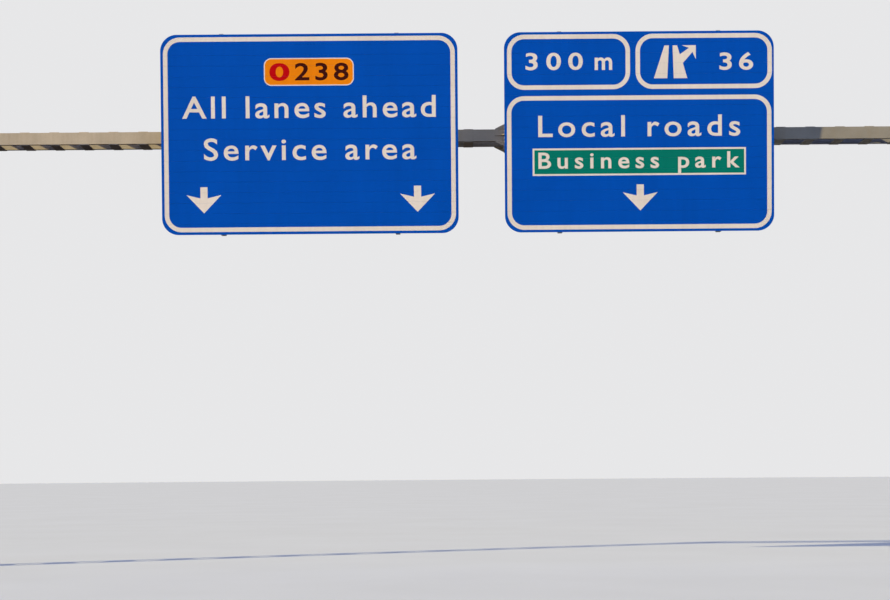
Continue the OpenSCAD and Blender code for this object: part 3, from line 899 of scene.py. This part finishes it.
cream = film("cream_film", CREAM_FILM)
orange = film("orange_film", ORANGE_FILM)
red = film("red_film", RED_FILM)
dark = film("dark_film", DARK_FILM)
left_sign, right_sign = signs
panel_low, panel_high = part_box(left_sign + "slats")
panel_w, panel_h = panel_high.x - panel_low.x, SLAT_COUNT * SLAT_PITCH - SLAT_SEAM
stick_on(border(*within(0, 0, panel_w, panel_h, LEFT_MARGIN), LEFT_BORDER_R, LINE),
         left_sign, "border", cream)
stick_on(border(*SHIELD, SHIELD_R, SHIELD_RIM), left_sign, "shield_rim", cream)
stick_on(sheet(*within(*SHIELD, SHIELD_RIM), SHIELD_R - SHIELD_RIM), left_sign, "shield", orange)
first_number = words("0", left=1.812, baseline=2.562, cap_height=0.285, stretch=1.72, swell=0.03)
stick_on(first_number, left_sign, "shield_first_number", red, layer=1)
numbers = digits("238", left=2.236, baseline=2.562, cap_height=0.285, width=0.894)
stick_on(numbers, left_sign, "shield_numbers", dark, layer=1)
upper_words = words("All lanes ahead", left=0.354, baseline=1.938, cap_height=0.368, width=4.222)
stick_on(upper_words, left_sign, "upper_words", cream)
lower_words = words("Service area", left=0.708, baseline=1.24, cap_height=0.368, width=3.540)
stick_on(lower_words, left_sign, "lower_words", cream)
stick_on(lane_arrow(LEFT_ARROW_X, LEFT_SIGN_ARROW_TOP), left_sign, "left_arrow", cream)
stick_on(lane_arrow(panel_w - RIGHT_ARROW_INSET, LEFT_SIGN_ARROW_TOP), left_sign, "right_arrow", cream)


# Right sign's face: a distance and an exit number in frames of their own above the main
# frame, which holds a line of words, a green plate and one lane arrow. All are stuck-on film.
GREEN_FILM = (0.0015, 0.206, 0.141, 1)
RIGHT_MARGIN, FRAME_R = 0.042, 0.283
MAIN_FRAME_H, UPPER_FRAME_Y = 2.221, 2.368
DISTANCE_FRAME_X, DISTANCE_FRAME_W = 0.050, 2.047
EXIT_FRAME_X, EXIT_FRAME_W = 2.189, 2.269
PLATE = (0.466, 0.937, 3.555, 0.455)
PLATE_RIM = 0.03
ARROW_OFFSET, RIGHT_SIGN_ARROW_TOP = 0.012, 0.785
green = film("green_film", GREEN_FILM)
panel_low, panel_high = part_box(right_sign + "slats")
panel_w = panel_high.x - panel_low.x
upper_h = panel_h - RIGHT_MARGIN - UPPER_FRAME_Y
stick_on(border(DISTANCE_FRAME_X, UPPER_FRAME_Y, DISTANCE_FRAME_W, upper_h, FRAME_R, LINE),
         right_sign, "distance_frame", cream)
stick_on(border(EXIT_FRAME_X, UPPER_FRAME_Y, EXIT_FRAME_W, upper_h, FRAME_R, LINE),
         right_sign, "exit_frame", cream)
stick_on(border(RIGHT_MARGIN, RIGHT_MARGIN, panel_w - 2 * RIGHT_MARGIN, MAIN_FRAME_H, FRAME_R, LINE),
         right_sign, "main_frame", cream)
distance = digits("300", left=0.357, baseline=2.702, cap_height=0.282, width=0.955)
stick_on(distance, right_sign, "distance", cream)
unit = words("m", left=1.509, baseline=2.696, cap_height=0.302, stretch=1.0, swell=DIGIT_SWELL)
stick_on(unit, right_sign, "distance_unit", cream)
exit_number = digits("36", left=3.585, baseline=2.683, cap_height=0.285, width=0.562)
stick_on(exit_number, right_sign, "exit_number", cream)
left_lane = outline([(2.493, 2.543), (2.716, 2.543), (2.744, 3.087), (2.670, 3.087)])
right_lane = outline([
    (2.823, 2.542), (3.050, 2.542), (2.976, 2.793), (3.136, 2.976), (3.192, 2.856), (3.192, 3.087),
    (2.962, 3.087), (3.077, 3.044), (2.926, 2.937), (2.880, 3.087), (2.806, 3.087)])
stick_on(joined([left_lane, right_lane]), right_sign, "exit_symbol", cream)
main_words = words("Local roads", left=0.562, baseline=1.588, cap_height=0.358, width=3.365)
stick_on(main_words, right_sign, "words", cream)
stick_on(border(*PLATE, 0, PLATE_RIM), right_sign, "plate_rim", cream)
stick_on(sheet(*within(*PLATE, PLATE_RIM)), right_sign, "plate", green)
plate_words = words("Business park", left=0.562, baseline=1.061, cap_height=0.27, width=3.355, swell=0.016)
stick_on(plate_words, right_sign, "plate_words", cream, layer=1)
stick_on(lane_arrow(panel_w / 2 + ARROW_OFFSET, RIGHT_SIGN_ARROW_TOP), right_sign, "arrow", cream)


# Floor and light: a wide pale floor, a warm key lamp on the left, a soft lamp behind for the
# backs of the signs, and a fill from near the horizon, blue in front and neutral behind. The
# floor looks pale but gives back little light.
FLOOR_REACH = 220
FLOOR_DROP = 0.0005
FLOOR_PATCH_SIZE = (3.0, 3.0, 3.0)
FLOOR_SHADES = (0.98, 1.02)
FLOOR_SEEN = (0.666, 0.716, 0.859, 1)
FLOOR_BOUNCE = (0.045, 0.045, 0.07, 1)
BACKDROP_SEEN = (0.80, 0.80, 0.81, 1)
FRONT_FILL = (0.50, 0.655, 1.13, 1)
REAR_FILL = (0.72, 0.75, 0.80, 1)
FILL_CHANGE = (-0.2, 0.2)
HORIZON_GLOW, ZENITH_GLOW, GLOW_HEIGHT = 2.39, 0.15, 0.6
KEY_DIRECTION = (0.768, 0.402, -0.405)
KEY_COLOUR = (1.0, 0.821, 0.421)
KEY_STRENGTH, KEY_ANGLE = 4.43, 1.5
BACK_DIRECTION = (0.30, -0.77, -0.56)
BACK_COLOUR = (1, 1, 1)
BACK_STRENGTH, BACK_ANGLE = 0.5, 60


def seen_directly(tree):
    """1 for rays from the camera, off glossy surfaces and through clear ones."""
    path = node(tree, "ShaderNodeLightPath")
    seen = path.outputs["Is Camera Ray"]
    for ray in ("Is Glossy Ray", "Is Transmission Ray"):
        seen = maths(tree, "MAXIMUM", seen, path.outputs[ray])
    return seen


bpy.ops.mesh.primitive_circle_add(vertices=128, radius=FLOOR_REACH, fill_type="NGON",
                                  location=((cad_box[0].x + cad_box[1].x) / 2, 0, -FLOOR_DROP))
floor = bpy.context.object
floor.name = "floor"
floor_material, tree, surface = new_material("floor")
patches = stretched_noise(tree, FLOOR_PATCH_SIZE, detail=4.0)
pale = shaded(tree, FLOOR_SEEN, band(tree, patches, *NOISE_RANGE, *FLOOR_SHADES))
tree.links.new(blend_colours(tree, seen_directly(tree), FLOOR_BOUNCE, pale), surface.inputs["Base Color"])
surface.inputs["Roughness"].default_value = 0.9
surface.inputs["Specular IOR Level"].default_value = 0.0
floor.data.materials.append(floor_material)

world = bpy.data.worlds.new("studio")
bpy.context.scene.world = world
world.use_nodes = True
tree = world.node_tree
background = tree.nodes["Background"]
sky = node(tree, "ShaderNodeTexCoord").outputs["Generated"]
direction = node(tree, "ShaderNodeSeparateXYZ", {"Vector": sky}).outputs
glow = band(tree, direction["Z"], 0.0, GLOW_HEIGHT, HORIZON_GLOW, ZENITH_GLOW)
tint = blend_colours(tree, band(tree, direction["Y"], *FILL_CHANGE), FRONT_FILL, REAR_FILL)
fill = shaded(tree, tint, glow)
tree.links.new(blend_colours(tree, seen_directly(tree), fill, BACKDROP_SEEN), background.inputs["Color"])

for name, heading, colour, strength, angle in (
        ("key", KEY_DIRECTION, KEY_COLOUR, KEY_STRENGTH, KEY_ANGLE),
        ("back", BACK_DIRECTION, BACK_COLOUR, BACK_STRENGTH, BACK_ANGLE)):
    aim = Vector((0, 0, -1)).rotation_difference(Vector(heading))
    bpy.ops.object.light_add(type="SUN", rotation=aim.to_euler())
    lamp = bpy.context.object
    lamp.name = name
    lamp.data.color = colour
    lamp.data.energy = strength
    lamp.data.angle = math.radians(angle)


# Camera: low in front of the gantry and a long way back, where a driver's eyes would be,
# looking slightly up through a long lens.
CAMERA_PLACE = (8.312, -30.162, 1.578)
CAMERA_LENS = 72.25
CAMERA_SHIFT = 0.07
CAMERA_TILT, CAMERA_TURN, CAMERA_ROLL = 3.404, -0.051, -0.452
bpy.ops.object.camera_add()
camera = bpy.context.object
camera.matrix_world = (
    Matrix.Translation(CAMERA_PLACE)
    @ Matrix.Rotation(math.radians(CAMERA_TURN), 4, "Z")
    @ Matrix.Rotation(math.radians(90 + CAMERA_TILT), 4, "X")
    @ Matrix.Rotation(math.radians(CAMERA_ROLL), 4, "Z")
)
camera.data.lens = CAMERA_LENS
camera.data.shift_y = CAMERA_SHIFT
camera.data.sensor_width = 36
camera.data.clip_end = 1000
bpy.context.scene.camera = camera
bpy.context.scene.view_settings.view_transform = "Standard"
